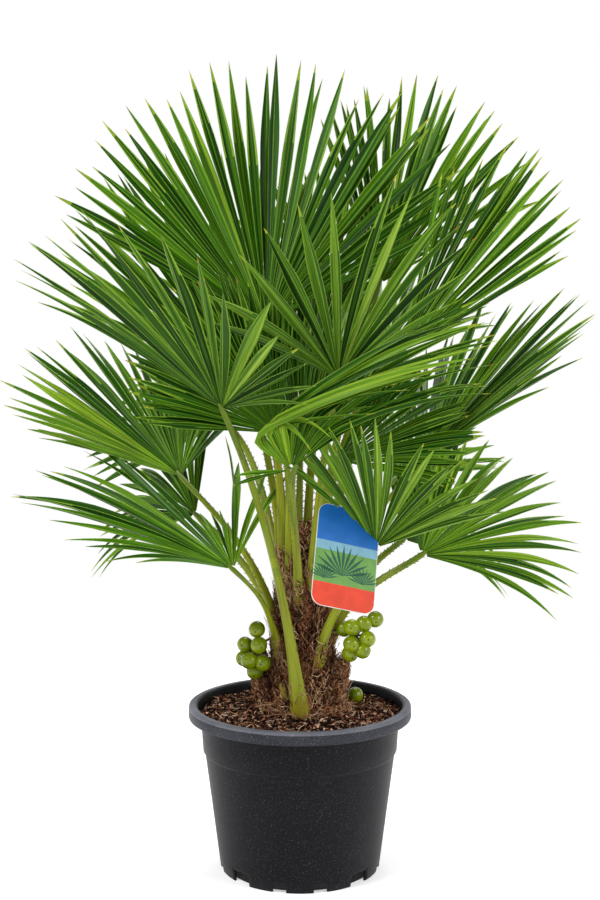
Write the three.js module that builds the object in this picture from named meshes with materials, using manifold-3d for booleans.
// European fan palm in a nursery pot, about 1.10 m tall.
// Millimetres, +Z up. The pot's axis is Z, its flat underside lies at z = 0, and -Y is the front.
import * as THREE from 'three';
import { mergeVertices } from 'three/addons/utils/BufferGeometryUtils.js';
import Module from 'manifold-3d';

const wasm = await Module();
wasm.setup();

// Clearance left between pieces that touch
const GAP = 0.3;

// Pot: a twelve-litre container with a stepped collar, a rolled rim and a notched foot ring
const POT_HEIGHT = 220;
const RIM_RADIUS = 150;
const RIM_BAND = 17;
const RIM_WIDTH = 11.5;
const COLLAR_TOP = 199;
const COLLAR_TOP_RADIUS = 133.3;
const COLLAR_FOOT = 158;
const COLLAR_STEP = 2.5;
const FOOT_RADIUS = 107.6;
const POT_WALL = 3;
const FLOOR_HEIGHT = 16;
const CENTRE_PAD_RADIUS = 40;
const FEED_HOLE = { width: 28, height: 16, count: 4, first: 45 };
const DRAIN_SLOT = { width: 18, height: 5, count: 4, spread: 14.3 };
const POT_SIDES = 48;

// Potting soil: fills the pot to just under its rim and rises a little towards the trunk
const SOIL_LEVEL = 207;
const SOIL_RISE = 6;
const SOIL_SHOULDERS = [[95, SOIL_LEVEL + 2], [60, SOIL_LEVEL + SOIL_RISE]];

// Trunk: short and clothed in brown fibre, flared at the soil and rounded off among the leaf stalks
const TRUNK_X = 4;
const TRUNK_FOOT = SOIL_LEVEL + SOIL_RISE + GAP;
const TRUNK_TOP = 446;
const TRUNK_PROFILE = [[0, 50], [0.12, 45], [0.35, 39], [0.6, 34], [0.85, 28], [0.95, 24], [1, 16]];
const TRUNK_SIDES = 24;

// Leaf stalks: six-sided, thick where they leave the trunk and slender at the blade
const STALK_SIDES = 6;
const STALK_SECTIONS = 6;
const STALK_BURIED = 6;
const STALK_LIFT = 0.28;
const STALK_LEAVE = 0.2;
const STALK_ARRIVE = 0.2;
const STALK_TAPER = 0.7;
const STALK_FLATNESS = 0.8;
const STALK_GRIP = 3;
const GRIP_SECTIONS = 6;

// Leaf blades: a fan of leaflets, joined near the hub and cut to the rib between them further out
const HUB_RADIUS = 7;
const JOINED_SHARE = 0.34;
const BROAD_SHARE = 0.62;
const LEAFLET_WIDTH = 20;
const BLADE_EDGE = 2.4;
const KEEL_DEPTH = 2.2;
const BLADE_DISH = 8;
const SAG_POWER = 2.5;
const LEAFLET_SPACE = 0.86;

// Lengths tried for a leaflet that would run into another frond, and the stump left where none is free
const SHORTENINGS = [1, 0.9, 0.8, 0.7, 0.6, 0.5];
const STUMP = 0.04;

// Offshoots: two shaggy stubs of side shoots at the trunk's foot, and a cut leaf base in front
const STUBS = [
  { name: 'offshoot_left', foot: [-45, 2], tip: [-56, 0], top: 288, radius: [17, 9] },
  { name: 'offshoot_right', foot: [42, -14], tip: [54, -20], top: 280, radius: [16, 11] },
  { name: 'leaf_base_front', foot: [-17, -51], tip: [-23, -53], top: 256, radius: [6.5, 4] },
];
const STUB_SIDES = 10;

// Fruit: round green fruits fused to short twigs in two bunches, and one fallen on the soil
const FRUIT_RADIUS = 11;
const TWIG_RADIUS = 2.2;
const BUNCHES = [
  { name: 'fruit_bunch_left', heart: [-56, -26, 300], root: [-30, -12, 312],
    fruits: [[-57, -32, 326], [-73, -28, 305], [-54, -42, 307], [-67, -40, 286], [-49, -40, 283],
      [-75, -22, 285], [-60, -27, 269]] },
  { name: 'fruit_bunch_right', heart: [74, -42, 319], root: [30, -20, 318],
    fruits: [[99, -40, 341], [84, -46, 336], [68, -50, 332], [58, -38, 328], [88, -52, 317],
      [67, -54, 311], [82, -52, 302], [66, -42, 296]] },
];
const LOOSE_FRUIT = [76, 31];

// Hang label: a thin card with round corners that leans against the stalk behind it
const LABEL = { width: 84, height: 132, thickness: 1, corner: 14, middle: [47, -105, 424] };
const LABEL_ACROSS = [0.92, 0.3, -0.24];
const LABEL_UP = [0.11, 0.45, 0.89];

// The fronds. hub: where the stalk meets the blade. heading: the blade's aim seen from the front,
// 0 to the right and 90 straight up. lean: degrees the aim comes forward. turn: degrees the blade is
// rolled about its aim. under: its lower side shows at the front. short: how much shorter the outermost
// leaflets are. foot: degrees round the trunk (0 right, 90 back) and height. girth: radius of the stalk
// at its foot and at its tip. sag: how far the tips hang, as a share of the reach. arrive: how long the
// stalk runs along the blade's aim, as a share of its reach. bow: how far one edge bends out half-way.
// trim: the edge whose leaflets are shorter still, how much so at the very edge, and where it begins.
const FRONDS = [
  { name: 'front_left', hub: [-95, -150, 621], heading: 113, lean: 48, turn: 47, under: true,
    spread: 139, reach: 342, short: 0.17, leaflets: 20, foot: [-95, 226], girth: [9.5, 5], sag: 0.03,
    trim: [-1, 0.53, 0.28] },
  { name: 'front_high', hub: [49, -75, 658], heading: 79, lean: 31, turn: -32, under: true,
    spread: 131, reach: 298, short: 0.3, leaflets: 18, foot: [-68, 392], girth: [7, 4.5], sag: 0.04 },
  { name: 'front_folded', hub: [-10, -165, 547], heading: 40, lean: 12, turn: -58, under: false,
    spread: 30, reach: 305, short: 0.2, leaflets: 9, foot: [-100, 372], girth: [7, 4.5], sag: 0.03,
    arrive: 0.05, bow: 0.17 },
  { name: 'front_right_low', hub: [96, -95, 443], heading: 90, lean: 36, turn: 22, under: true,
    spread: 116, reach: 222, short: 0.18, leaflets: 16, foot: [-58, 290], girth: [7.5, 4.5], sag: 0.05 },
  { name: 'left_middle', hub: [-163, 30, 525], heading: 132, lean: -25, turn: -55, under: false,
    spread: 132, reach: 298, short: 0.3, leaflets: 20, foot: [188, 330], girth: [7.5, 4.5], sag: 0.03 },
  { name: 'left_low', hub: [-83, -130, 421], heading: 143, lean: -28, turn: -60, under: false,
    spread: 124, reach: 316, short: 0.2, leaflets: 18, foot: [215, 298], girth: [7.5, 4.5], sag: 0.08,
    trim: [1, 0.5, 0.5] },
  { name: 'right_low', hub: [160, -35, 425], heading: 36, lean: -28, turn: 24, under: false,
    spread: 125, reach: 250, short: 0.3, leaflets: 18, foot: [-6, 312], girth: [7.5, 4.5], sag: 0.08 },
  { name: 'right_middle', hub: [168, -5, 555], heading: 52, lean: -19, turn: 68, under: false,
    spread: 122, reach: 318, short: 0.3, leaflets: 18, foot: [12, 345], girth: [7.5, 4.5], sag: 0.02 },
  { name: 'crown_top', hub: [-46, 52, 731], heading: 91, lean: -5, turn: 0, under: false,
    spread: 125, reach: 372, short: 0.11, leaflets: 18, foot: [203, 411], girth: [6.5, 4.5], sag: 0 },
  { name: 'crown_left', hub: [-70, 90, 638], heading: 110, lean: -15, turn: -10, under: false,
    spread: 92, reach: 400, short: 0.28, leaflets: 18, foot: [168, 404], girth: [6.5, 4.5], sag: 0 },
  { name: 'crown_right', hub: [111, 90, 789], heading: 71, lean: -9, turn: -3, under: false,
    spread: 82, reach: 318, short: 0.22, leaflets: 14, foot: [30, 416], girth: [6.5, 4.5], sag: 0 },
  { name: 'right_high', hub: [137, 8, 693], heading: 53, lean: 0, turn: 0, under: false,
    spread: 50, reach: 335, short: 0.28, leaflets: 11, foot: [-12, 402], girth: [6.5, 4.5], sag: 0 },
  { name: 'right_inner', hub: [50, -30, 550], heading: 28, lean: 8, turn: 0, under: false,
    spread: 80, reach: 200, short: 0.28, leaflets: 12, foot: [-40, 412], girth: [6, 4], sag: 0.03 },
  { name: 'heart_left', hub: [-30, -20, 585], heading: 128, lean: 5, turn: 0, under: false,
    spread: 95, reach: 240, short: 0.28, leaflets: 13, foot: [232, 398], girth: [6, 4], sag: 0 },
  { name: 'heart', hub: [0, 45, 545], heading: 92, lean: -8, turn: 0, under: false,
    spread: 92, reach: 285, short: 0.28, leaflets: 13, foot: [107, 418], girth: [5.5, 4], sag: 0 },
  { name: 'back_left_high', hub: [-70, 190, 700], heading: 112, lean: -52, turn: -15, under: false,
    spread: 110, reach: 290, short: 0.28, leaflets: 16, foot: [137, 408], girth: [7, 4.5], sag: 0.02 },
  { name: 'back_high', hub: [35, 150, 740], heading: 88, lean: -28, turn: 0, under: false,
    spread: 100, reach: 290, short: 0.28, leaflets: 16, foot: [81, 412], girth: [7, 4.5], sag: 0.02 },
  { name: 'back_right_high', hub: [120, 185, 690], heading: 62, lean: -52, turn: 15, under: false,
    spread: 92, reach: 290, short: 0.28, leaflets: 16, foot: [55, 398], girth: [7, 4.5], sag: 0.02 },
  { name: 'back_left_middle', hub: [-110, 180, 590], heading: 158, lean: -45, turn: -20, under: false,
    spread: 112, reach: 290, short: 0.28, leaflets: 16, foot: [148, 362], girth: [7.5, 4.5], sag: 0.05 },
  { name: 'back_middle', hub: [0, 200, 550], heading: 92, lean: -70, turn: 0, under: false,
    spread: 96, reach: 290, short: 0.28, leaflets: 16, foot: [100, 352], girth: [7.5, 4.5], sag: 0.06 },
  { name: 'back_right_middle', hub: [140, 170, 510], heading: 46, lean: -60, turn: 20, under: false,
    spread: 86, reach: 280, short: 0.28, leaflets: 16, foot: [58, 348], girth: [7.5, 4.5], sag: 0.05 },
  { name: 'back_left_low', hub: [-150, 120, 462], heading: 150, lean: -60, turn: -10, under: false,
    spread: 100, reach: 262, short: 0.28, leaflets: 16, foot: [140, 300], girth: [7.5, 4.5], sag: 0.05 },
  { name: 'back_right_low', hub: [150, 130, 425], heading: 30, lean: -58, turn: 15, under: false,
    spread: 105, reach: 250, short: 0.28, leaflets: 16, foot: [35, 302], girth: [7.5, 4.5], sag: 0.08 },
];

const rad = THREE.MathUtils.degToRad;
const vec = (x, y, z) => new THREE.Vector3(x, y, z);

const BLACK_PLASTIC = material(0x2e2e31, 0.62);
const SOIL_BROWN = material(0x5a3a2a, 0.95);
const FIBRE_BROWN = material(0x6b4632, 0.95);
const STALK_GREEN = material(0x7f9a35, 0.5);
const LEAF_GREEN = material(0x2f6a1c, 0.42);
const LEAF_UNDERSIDE = material(0x5b8a3c, 0.6);
const FRUIT_GREEN = material(0x6f8f2a, 0.3);
const LABEL_CARD = material(0x3f87b8, 0.35);

function material(color, roughness) {
  return new THREE.MeshStandardMaterial({ color, roughness, metalness: 0 });
}

// A closed geometry from corner points and triangles
function shell(points, triangles) {
  const geometry = new THREE.BufferGeometry();
  geometry.setAttribute('position', new THREE.Float32BufferAttribute(points.flatMap((p) => p.toArray()), 3));
  geometry.setIndex(triangles);
  return geometry;
}

function solidOf(geometry) {
  const bare = geometry.clone();
  bare.deleteAttribute('normal');
  bare.deleteAttribute('uv');
  const welded = mergeVertices(bare, 1e-4);
  return new wasm.Manifold(new wasm.Mesh({
    numProp: 3,
    vertProperties: new Float32Array(welded.attributes.position.array),
    triVerts: new Uint32Array(welded.index.array),
  }));
}

function geometryOf(solid) {
  const mesh = solid.getMesh();
  const geometry = new THREE.BufferGeometry();
  geometry.setAttribute('position', new THREE.BufferAttribute(new Float32Array(mesh.vertProperties), 3));
  geometry.setIndex(Array.from(mesh.triVerts));
  geometry.computeVertexNormals();
  return geometry;
}

// The biggest body of a solid, once a cut has left scraps
function mainBody(solid) {
  return solid.decompose().reduce((best, body) => (body.volume() > best.volume() ? body : best));
}

// Rings of corner points joined into a closed tube, with a flat cap at each end
function loft(rings) {
  const sides = rings[0].length;
  const points = rings.flat();
  const triangles = [];
  for (let r = 0; r + 1 < rings.length; r++) {
    for (let s = 0; s < sides; s++) {
      const a = r * sides + s;
      const b = r * sides + ((s + 1) % sides);
      triangles.push(a, b, b + sides, a, b + sides, a + sides);
    }
  }
  const last = (rings.length - 1) * sides;
  for (let s = 1; s + 1 < sides; s++) {
    triangles.push(0, s + 1, s, last, last + s, last + s + 1);
  }
  return shell(points, triangles);
}

// A solid of revolution about Z from [radius, height] pairs that close on themselves or on the axis
function turned(profile, sides) {
  const lathe = new THREE.LatheGeometry(profile.map(([r, z]) => new THREE.Vector2(r, z)), sides);
  lathe.rotateX(Math.PI / 2);
  return lathe;
}

// Radius of the pot's outer wall at a height, below the collar's step
function wallRadius(z) {
  return THREE.MathUtils.lerp(FOOT_RADIUS, COLLAR_TOP_RADIUS - 2 * COLLAR_STEP, z / COLLAR_FOOT);
}

function makePot() {
  const stepRadius = wallRadius(COLLAR_FOOT);
  const floorRadius = wallRadius(FLOOR_HEIGHT) - POT_WALL;
  const profile = [
    [0, 0], [CENTRE_PAD_RADIUS, 0], [CENTRE_PAD_RADIUS + 2, FLOOR_HEIGHT], [floorRadius, FLOOR_HEIGHT],
    [FOOT_RADIUS - POT_WALL, 0], [FOOT_RADIUS, 0], [stepRadius, COLLAR_FOOT],
    [stepRadius + COLLAR_STEP, COLLAR_FOOT + 1], [COLLAR_TOP_RADIUS, COLLAR_TOP],
    [RIM_RADIUS, POT_HEIGHT - RIM_BAND], [RIM_RADIUS, POT_HEIGHT], [RIM_RADIUS - RIM_WIDTH, POT_HEIGHT],
    [RIM_RADIUS - RIM_WIDTH - 1, POT_HEIGHT - RIM_BAND + 4], [COLLAR_TOP_RADIUS - POT_WALL, COLLAR_TOP - 4],
    [stepRadius + COLLAR_STEP - POT_WALL, COLLAR_FOOT - 2], [stepRadius - POT_WALL, COLLAR_FOOT - 5],
    [floorRadius, FLOOR_HEIGHT + POT_WALL], [0, FLOOR_HEIGHT + POT_WALL],
  ];
  let pot = solidOf(turned(profile, POT_SIDES));
  const notch = (width, height, degrees) => {
    const box = new THREE.BoxGeometry(30, width, height + 2);
    box.translate(FOOT_RADIUS, 0, height / 2 - 1);
    box.rotateZ(rad(degrees));
    pot = pot.subtract(solidOf(box));
  };
  for (let i = 0; i < FEED_HOLE.count; i++) {
    notch(FEED_HOLE.width, FEED_HOLE.height, FEED_HOLE.first + (i * 360) / FEED_HOLE.count);
  }
  for (let i = 0; i < DRAIN_SLOT.count; i++) {
    for (const side of [-1, 1]) {
      notch(DRAIN_SLOT.width, DRAIN_SLOT.height, (i * 360) / DRAIN_SLOT.count + side * DRAIN_SLOT.spread);
    }
  }
  return pot;
}

function makeSoil() {
  const stepRadius = wallRadius(COLLAR_FOOT);
  const floor = FLOOR_HEIGHT + POT_WALL + GAP;
  const inset = POT_WALL + 2 * GAP;
  const profile = [
    [0, floor], [wallRadius(FLOOR_HEIGHT) - inset, floor], [stepRadius - inset, COLLAR_FOOT - 5],
    [stepRadius + COLLAR_STEP - inset, COLLAR_FOOT], [COLLAR_TOP_RADIUS - inset, COLLAR_TOP - 3.6],
    [RIM_RADIUS - RIM_WIDTH - 3, SOIL_LEVEL], ...SOIL_SHOULDERS, [0, SOIL_LEVEL + SOIL_RISE],
  ];
  return solidOf(turned(profile, POT_SIDES));
}

// Height of the soil at a distance from the pot's axis
function soilHeight(radius) {
  const [outer, inner] = SOIL_SHOULDERS;
  return THREE.MathUtils.mapLinear(radius, outer[0], inner[0], outer[1], inner[1]);
}

// Trunk radius at a height
function trunkRadius(z) {
  const share = (z - TRUNK_FOOT) / (TRUNK_TOP - TRUNK_FOOT);
  for (let i = 1; i < TRUNK_PROFILE.length; i++) {
    const [from, r0] = TRUNK_PROFILE[i - 1];
    const [to, r1] = TRUNK_PROFILE[i];
    if (share <= to) return THREE.MathUtils.mapLinear(share, from, to, r0, r1);
  }
  return 0;
}

// The trunk, or with extra the space that its neighbours stay out of
function makeTrunk(extra = 0) {
  const foot = TRUNK_FOOT - extra;
  const profile = TRUNK_PROFILE.map(([share, r]) => {
    return [r + extra, THREE.MathUtils.lerp(foot, TRUNK_TOP + extra, share)];
  });
  const trunk = turned([[0, foot], ...profile, [0, TRUNK_TOP + extra]], TRUNK_SIDES);
  trunk.translate(TRUNK_X, 0, 0);
  return trunk;
}

function makeStub({ foot, tip, top, radius }) {
  const heights = [SOIL_LEVEL + SOIL_RISE + GAP, THREE.MathUtils.lerp(SOIL_LEVEL, top, 0.55), top];
  const rings = heights.map((z, i) => {
    const t = i / (heights.length - 1);
    const [x, y] = foot.map((from, k) => THREE.MathUtils.lerp(from, tip[k], t));
    const r = THREE.MathUtils.lerp(radius[0], radius[1], t);
    return Array.from({ length: STUB_SIDES }, (_, s) => {
      const a = (s * 2 * Math.PI) / STUB_SIDES;
      return vec(x + r * Math.cos(a), y + r * Math.sin(a), z);
    });
  });
  return solidOf(loft(rings)).subtract(trunkSwollen);
}

function makeBunch({ heart, root, fruits }) {
  const middle = vec(...heart);
  const twig = (to) => solidOf(rod(middle, to, TWIG_RADIUS));
  let bunch = twig(vec(...root)).subtract(trunkSwollen);
  for (const fruit of fruits) {
    const ball = new THREE.IcosahedronGeometry(FRUIT_RADIUS, 1);
    ball.translate(...fruit);
    bunch = bunch.add(twig(vec(...fruit))).add(solidOf(ball));
  }
  return mainBody(bunch);
}

// A six-sided rod from one point to another
function rod(from, to, radius) {
  const geometry = new THREE.CylinderGeometry(radius, radius, from.distanceTo(to), 6);
  geometry.rotateX(Math.PI / 2);
  geometry.lookAt(to.clone().sub(from));
  const middle = from.clone().lerp(to, 0.5);
  return geometry.translate(middle.x, middle.y, middle.z);
}

// The card's outline, pushed forward from its middle until it just clears the stalk behind it
function makeLabel(stalk, extra = 0) {
  const { width, height, thickness, corner, middle } = LABEL;
  const outline = new THREE.Shape();
  const [x, y, r] = [width / 2 - corner, height / 2 - corner, corner + extra];
  outline.absarc(x, y, r, 0, Math.PI / 2);
  outline.absarc(-x, y, r, Math.PI / 2, Math.PI);
  outline.absarc(-x, -y, r, Math.PI, 1.5 * Math.PI);
  outline.absarc(x, -y, r, 1.5 * Math.PI, 2 * Math.PI);
  const depth = thickness + 2 * extra;
  const card = new THREE.ExtrudeGeometry(outline, { depth, bevelEnabled: false, curveSegments: 4 });
  const across = vec(...LABEL_ACROSS).normalize();
  const front = vec(0, 0, 0).crossVectors(across, vec(...LABEL_UP)).normalize();
  const up = vec(0, 0, 0).crossVectors(front, across);
  const behind = geometryOf(stalk).attributes.position;
  let nearest = -Infinity;
  for (let i = 0; i < behind.count; i++) {
    const point = vec(0, 0, 0).fromBufferAttribute(behind, i).sub(vec(...middle));
    const inside = Math.abs(point.dot(across)) < width / 2 + 4 && Math.abs(point.dot(up)) < height / 2;
    if (inside) nearest = Math.max(nearest, point.dot(front));
  }
  card.applyMatrix4(new THREE.Matrix4().makeBasis(across, up, front));
  const seat = front.multiplyScalar(nearest + GAP - extra).add(vec(...middle));
  return card.translate(seat.x, seat.y, seat.z);
}

// A frond's own axes: aim along the middle leaflet, side across the fan, face out of its upper side
function bladeAxes({ heading, lean, turn, under }) {
  const h = rad(heading);
  const l = rad(lean);
  const aim = vec(Math.cos(h) * Math.cos(l), -Math.sin(l), Math.sin(h) * Math.cos(l));
  const front = vec(0, -1, 0);
  front.addScaledVector(aim, -front.dot(aim)).normalize();
  front.applyAxisAngle(aim, rad(-turn));
  const side = vec(0, 0, 0).crossVectors(front, aim);
  return { aim, side, face: under ? front.negate() : front };
}

// The length of the leaflet at u across the fan
function leafletLength(frond, u) {
  const [edge, trimmed, from] = frond.trim ?? [1, 0, 0];
  const share = THREE.MathUtils.clamp((edge * u - from) / (1 - from), 0, 1);
  return frond.reach * (1 - frond.short * u * u) * (1 - trimmed * share);
}

// A point of the blade: u runs from -1 to 1 across the fan and t from 0 at the hub to 1 at the tips.
// Outer leaflets are shorter and dish a little towards the upper side, and all sag towards their tips.
function bladePoint(frond, axes, u, t, rise, hubRadius = HUB_RADIUS) {
  const angle = rad((u * frond.spread) / 2);
  const dish = rad(BLADE_DISH * u * u);
  const way = axes.aim.clone().multiplyScalar(Math.cos(angle)).addScaledVector(axes.side, Math.sin(angle));
  way.multiplyScalar(Math.cos(dish)).addScaledVector(axes.face, Math.sin(dish));
  const length = leafletLength(frond, u);
  const point = vec(...frond.hub).addScaledVector(way, Math.max(hubRadius, length * t));
  point.z -= frond.sag * length * t ** SAG_POWER;
  const bow = (frond.bow ?? 0) * length * 2 * t * (1 - t) * (1 + u);
  return point.addScaledVector(axes.face, rise - bow);
}

// Half a leaflet's width as a share of the fan at t, kept under the space that it has there
function halfWidth(frond, u, t, extra) {
  const length = leafletLength(frond, u);
  const space = 1 / frond.leaflets;
  const own = (LEAFLET_WIDTH / 2 + extra) / (length * t * rad(frond.spread / 2));
  return Math.min(own, space * LEAFLET_SPACE);
}

// The blade as one solid: flat above, keeled below, with leaflet i cut short to cut[i] of its length
function bladeGeometry(frond, cut, extra = 0) {
  const axes = bladeAxes(frond);
  const edge = BLADE_EDGE / 2 + extra;
  const keel = edge + KEEL_DEPTH;
  const points = [];
  const triangles = [];
  const hubRadius = HUB_RADIUS - extra;
  const add = (u, t, rise) => points.push(bladePoint(frond, axes, u, t, rise, hubRadius)) - 1;
  const quad = (a, b, c, d) => triangles.push(a, b, c, a, c, d);
  const seam = [];
  for (let i = 0; i <= frond.leaflets; i++) {
    const u = -1 + (2 * i) / frond.leaflets;
    seam.push({
      inTop: add(u, 0, edge), inLow: add(u, 0, -edge),
      outTop: add(u, JOINED_SHARE, edge), outLow: add(u, JOINED_SHARE, -edge),
    });
  }
  for (let i = 0; i < frond.leaflets; i++) {
    const u = -1 + (2 * i + 1) / frond.leaflets;
    const [l, r] = [seam[i], seam[i + 1]];
    const inKeel = add(u, 0, -keel);
    const outKeel = add(u, JOINED_SHARE, -keel);
    const broad = THREE.MathUtils.lerp(JOINED_SHARE, BROAD_SHARE, cut[i]);
    const half = halfWidth(frond, u, broad, extra);
    const left = add(u - half, broad, 0);
    const right = add(u + half, broad, 0);
    const low = add(u, broad, -keel);
    const tip = add(u, THREE.MathUtils.lerp(JOINED_SHARE, 1, cut[i]), 0);
    quad(l.inTop, l.outTop, r.outTop, r.inTop);
    quad(l.inLow, inKeel, outKeel, l.outLow);
    quad(inKeel, r.inLow, r.outLow, outKeel);
    quad(l.inTop, r.inTop, inKeel, l.inLow);
    triangles.push(r.inTop, r.inLow, inKeel);
    quad(l.outTop, left, right, r.outTop);
    quad(l.outLow, outKeel, low, left);
    quad(outKeel, r.outLow, right, low);
    triangles.push(l.outTop, l.outLow, left, r.outTop, right, r.outLow);
    triangles.push(left, tip, right, left, low, tip, low, right, tip);
  }
  const [first, last] = [seam[0], seam[frond.leaflets]];
  quad(first.inTop, first.inLow, first.outLow, first.outTop);
  quad(last.inTop, last.outTop, last.outLow, last.inLow);
  return shell(points, frond.under ? flipped(triangles) : triangles);
}

function flipped(triangles) {
  const turnedOver = [];
  for (let i = 0; i < triangles.length; i += 3) {
    turnedOver.push(triangles[i], triangles[i + 2], triangles[i + 1]);
  }
  return turnedOver;
}

// A stalk's centre line: up out of the trunk, over in a bow and into the blade along its aim
function stalkCurve(frond) {
  const axes = bladeAxes(frond);
  const [around, height] = frond.foot;
  const out = trunkRadius(height) + frond.girth[0] - STALK_BURIED;
  const foot = vec(TRUNK_X + out * Math.cos(rad(around)), out * Math.sin(rad(around)), height);
  const hub = vec(...frond.hub);
  const reach = foot.distanceTo(hub);
  const end = hub.clone().addScaledVector(axes.aim, HUB_RADIUS + STALK_GRIP);
  const leave = foot.clone().lerp(hub, STALK_LEAVE).add(vec(0, 0, reach * STALK_LIFT));
  const arrive = hub.clone().addScaledVector(axes.aim, -reach * (frond.arrive ?? STALK_ARRIVE));
  return new THREE.CubicBezierCurve3(foot, leave, arrive, end);
}

function stalkGeometry(frond, extra = 0) {
  const curve = stalkCurve(frond);
  const { aim, face } = bladeAxes(frond);
  const rings = [];
  for (let i = 0; i <= STALK_SECTIONS; i++) {
    const t = i / STALK_SECTIONS;
    const along = i === STALK_SECTIONS ? aim : curve.getTangent(t);
    const across = vec(0, 0, 0).crossVectors(along, face).normalize();
    const over = vec(0, 0, 0).crossVectors(along, across);
    const radius = THREE.MathUtils.lerp(frond.girth[0], frond.girth[1], t ** STALK_TAPER) + extra;
    const ring = [];
    for (let s = 0; s < STALK_SIDES; s++) {
      const a = (s * 2 * Math.PI) / STALK_SIDES;
      const point = curve.getPoint(t).addScaledVector(across, radius * Math.cos(a));
      ring.push(point.addScaledVector(over, radius * STALK_FLATNESS * Math.sin(a)));
    }
    rings.push(ring);
  }
  return loft(rings);
}

function boxesMeet(a, b) {
  const p = a.boundingBox();
  const q = b.boundingBox();
  return [0, 1, 2].every((k) => p.min[k] < q.max[k] && q.min[k] < p.max[k]);
}

function meets(solid, other) {
  return boxesMeet(solid, other) && solid.intersect(other).volume() > 0;
}

// One leaflet beyond the joined part, swollen by the clearance, to try whether it runs clear
function leafletProbe(frond, i, cut) {
  const axes = bladeAxes(frond);
  const u = -1 + (2 * i + 1) / frond.leaflets;
  const rise = BLADE_EDGE / 2 + KEEL_DEPTH + 2 * GAP;
  const ring = (t, half) => [[-half, rise], [half, rise], [half, -rise], [-half, -rise]]
    .map(([across, up]) => bladePoint(frond, axes, u + across, t, up));
  const broad = THREE.MathUtils.lerp(JOINED_SHARE, BROAD_SHARE, cut);
  const tip = THREE.MathUtils.lerp(JOINED_SHARE, 1, cut);
  const rings = [
    ring(JOINED_SHARE * 1.02, 0.98 / frond.leaflets),
    ring(broad, halfWidth(frond, u, broad, 2 * GAP)),
    ring(tip + 0.002, 0.1 / frond.leaflets),
  ];
  return sweptSolid(rings);
}

// The lofted rings as a solid, whichever way round they run
function sweptSolid(rings) {
  const solid = solidOf(loft(rings));
  return solid.volume() > 0 ? solid : solidOf(loft(rings.reverse()));
}

// The space round the blade's inner edge that the stalk's tip stays out of
function hubSpace(frond) {
  const axes = bladeAxes(frond);
  const top = BLADE_EDGE / 2 + GAP;
  const low = -top - KEEL_DEPTH;
  const rings = [];
  for (let i = 0; i <= GRIP_SECTIONS; i++) {
    const u = -1 + (2 * i) / GRIP_SECTIONS;
    const corners = [[0, top], [JOINED_SHARE, top], [JOINED_SHARE, low], [0, low]];
    rings.push(corners.map(([t, rise]) => bladePoint(frond, axes, u, t, rise, HUB_RADIUS - GAP)));
  }
  return sweptSolid(rings);
}

// The blade with its leaflets shortened where they would meet something, and its middle cut clear of it
function clearBlade(frond, obstacles) {
  const space = solidOf(bladeGeometry(frond, uncut(frond), 1));
  const near = obstacles.filter(({ solid }) => boxesMeet(space, solid));
  const cut = uncut(frond).map((_, i) => {
    const isClear = (share) => {
      const probe = leafletProbe(frond, i, share);
      return !near.some(({ solid }) => meets(probe, solid));
    };
    return SHORTENINGS.find(isClear) ?? STUMP;
  });
  let blade = solidOf(bladeGeometry(frond, cut));
  for (const { solid, swollen } of near) {
    if (meets(blade, solid) || meets(blade, swollen())) blade = mainBody(blade.subtract(swollen()));
  }
  return { blade, cut };
}

function uncut(frond) {
  return new Array(frond.leaflets).fill(1);
}

const palm = new THREE.Group();
const placed = [];

// Adds a piece to the palm and keeps it, with the space that later pieces stay out of
function place(name, solid, finish, swollen = () => solid) {
  const mesh = new THREE.Mesh(geometryOf(solid), finish);
  mesh.name = name;
  palm.add(mesh);
  placed.push({ name, solid, swollen });
}

const trunkSwollen = solidOf(makeTrunk(GAP));
place('pot', makePot(), BLACK_PLASTIC);
place('soil', makeSoil(), SOIL_BROWN);
place('trunk', solidOf(makeTrunk()), FIBRE_BROWN);

// Each stalk is cut round to the trunk, and its tip grips the inner edge of its blade
for (const frond of FRONDS) {
  const stalk = mainBody(solidOf(stalkGeometry(frond)).subtract(trunkSwollen).subtract(hubSpace(frond)));
  place(`${frond.name}_stalk`, stalk, STALK_GREEN, () => solidOf(stalkGeometry(frond, 2 * GAP)));
}
for (const stub of STUBS) {
  place(stub.name, makeStub(stub), FIBRE_BROWN);
}
for (const bunch of BUNCHES) {
  place(bunch.name, makeBunch(bunch), FRUIT_GREEN);
}
const loose = new THREE.IcosahedronGeometry(FRUIT_RADIUS, 1);
loose.translate(...LOOSE_FRUIT, soilHeight(Math.hypot(...LOOSE_FRUIT)) + FRUIT_RADIUS + GAP);
place('fruit_loose', solidOf(loose), FRUIT_GREEN);
const labelStalk = placed.find(({ name }) => name === 'front_right_low_stalk').solid;
place('label', solidOf(makeLabel(labelStalk)), LABEL_CARD, () => solidOf(makeLabel(labelStalk, GAP)));

for (const frond of FRONDS) {
  const others = placed.filter(({ name }) => name !== `${frond.name}_stalk`);
  const { blade, cut } = clearBlade(frond, others);
  place(`${frond.name}_blade`, blade, frond.under ? LEAF_UNDERSIDE : LEAF_GREEN,
    () => solidOf(bladeGeometry(frond, cut, 2 * GAP)));
}

export default palm;
